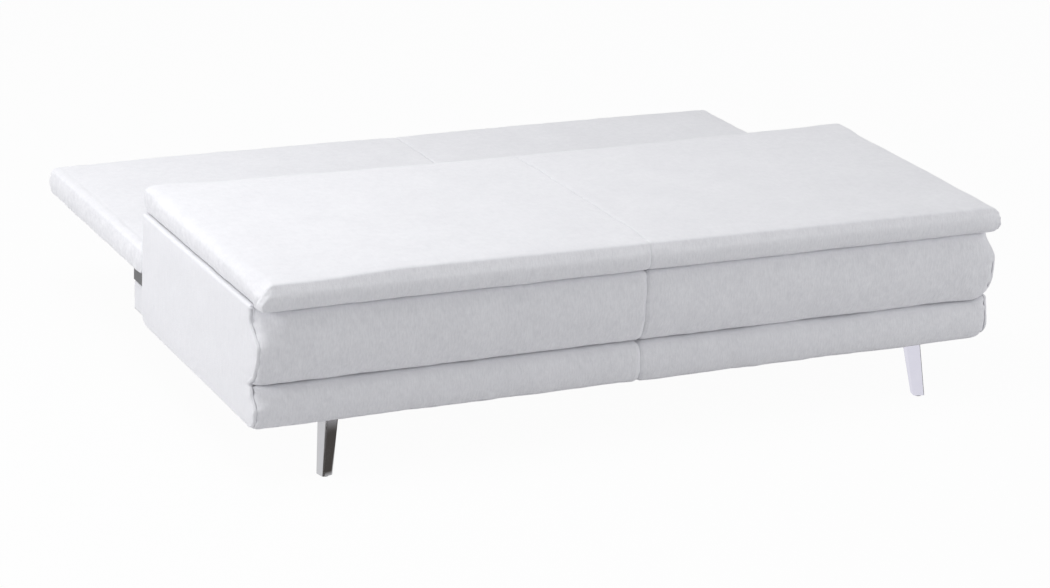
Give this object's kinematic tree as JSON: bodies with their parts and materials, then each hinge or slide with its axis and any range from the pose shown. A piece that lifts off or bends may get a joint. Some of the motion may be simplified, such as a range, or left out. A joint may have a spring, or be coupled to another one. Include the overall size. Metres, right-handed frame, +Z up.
{
  "type": "click clack sofa bed",
  "caption": "Sofa bed lying flat: crowned seat pad that lifts off a padded bedding box on rear hinges, lower back pad that reclines on click clack fittings, splayed tapered metal legs.",
  "frame": {"origin": "centre of the footprint of the open bed, on the floor", "axes": "+X along the length of the bed, +Y from the seat towards the reclining back, +Z up"},
  "size_m": [1.958, 1.492, 0.4837],
  "materials": {
    "upholstery": "short pile, pale grey",
    "lining": "thin woven lining",
    "timber": "planed softwood",
    "board": "raw chipboard",
    "hardboard": "raw hardboard",
    "fitting_steel": "dark grey coated steel",
    "spring_steel": "plain steel",
    "chrome": "polished",
    "glide": "black, matt"
  },
  "bodies": {
    "base": {"front_board": "board", "side_board_left": "board", "side_board_right": "board", "rear_board": "board", "storage_floor": "hardboard", "floor_cross_rail": "timber", "corner_block_front_left": "timber", "corner_block_front_right": "timber", "corner_block_rear_left": "timber", "corner_block_rear_right": "timber", "plinth_top_board": "board", "plinth_rear_board": "board", "plinth_cover": "upholstery", "rear_cover": "upholstery", "front_roll_upper": "upholstery", "front_roll_lower": "upholstery", "side_cover_left": "upholstery", "side_cover_right": "upholstery", "leg_front_left": "chrome", "leg_front_right": "chrome", "leg_rear_left": "chrome", "leg_rear_right": "chrome", "glide_front_left": "glide", "glide_front_right": "glide", "glide_rear_left": "glide", "glide_rear_right": "glide", "ratchet_bracket_left": "fitting_steel", "ratchet_bracket_right": "fitting_steel", "pivot_bolt_left": "spring_steel", "pivot_bolt_right": "spring_steel", "seat_hinge_base_left": "fitting_steel", "seat_hinge_base_right": "fitting_steel", "seat_hinge_pin_left": "fitting_steel", "seat_hinge_pin_right": "fitting_steel"},
    "seat": {"seat_pad": "upholstery", "seat_rail_front": "timber", "seat_rail_rear": "timber", "seat_rail_left": "timber", "seat_rail_right": "timber", "seat_rail_middle": "timber", "wave_spring_1": "spring_steel", "wave_spring_2": "spring_steel", "wave_spring_3": "spring_steel", "wave_spring_4": "spring_steel", "wave_spring_5": "spring_steel", "wave_spring_6": "spring_steel", "seat_hinge_leaf_left": "fitting_steel", "seat_hinge_leaf_right": "fitting_steel"},
    "back": {"back_pad": "upholstery", "back_panel": "hardboard", "back_rail_lower": "timber", "back_rail_upper": "timber", "back_rail_left": "timber", "back_rail_right": "timber", "back_rail_middle": "timber", "back_cover": "lining", "ratchet_arm_left": "fitting_steel", "ratchet_arm_right": "fitting_steel"},
    "pawl_left": {"pawl_left": "fitting_steel"},
    "pawl_right": {"pawl_right": "fitting_steel"}
  },
  "joints": [
    {"name": "seat_lift", "type": "hinge", "parent": "base", "child": "seat", "pos_m": [0, 0.018, 0.4183], "axis": [-1, 0, 0], "range_deg": [0, 50]},
    {"name": "back_recline", "type": "hinge", "parent": "base", "child": "back", "pos_m": [0, 0.089, 0.286], "axis": [1, 0, 0], "range_deg": [0, 80]},
    {"name": "pawl_left_drop", "type": "hinge", "parent": "base", "child": "pawl_left", "pos_m": [-0.95175, 0.08213, 0.23259], "axis": [1, 0, 0], "range_deg": [0, 12], "stiffness_Nm_per_rad": 0.05},
    {"name": "pawl_right_drop", "type": "hinge", "parent": "base", "child": "pawl_right", "pos_m": [0.95175, 0.08213, 0.23259], "axis": [1, 0, 0], "range_deg": [0, 12], "stiffness_Nm_per_rad": 0.05}
  ]
}
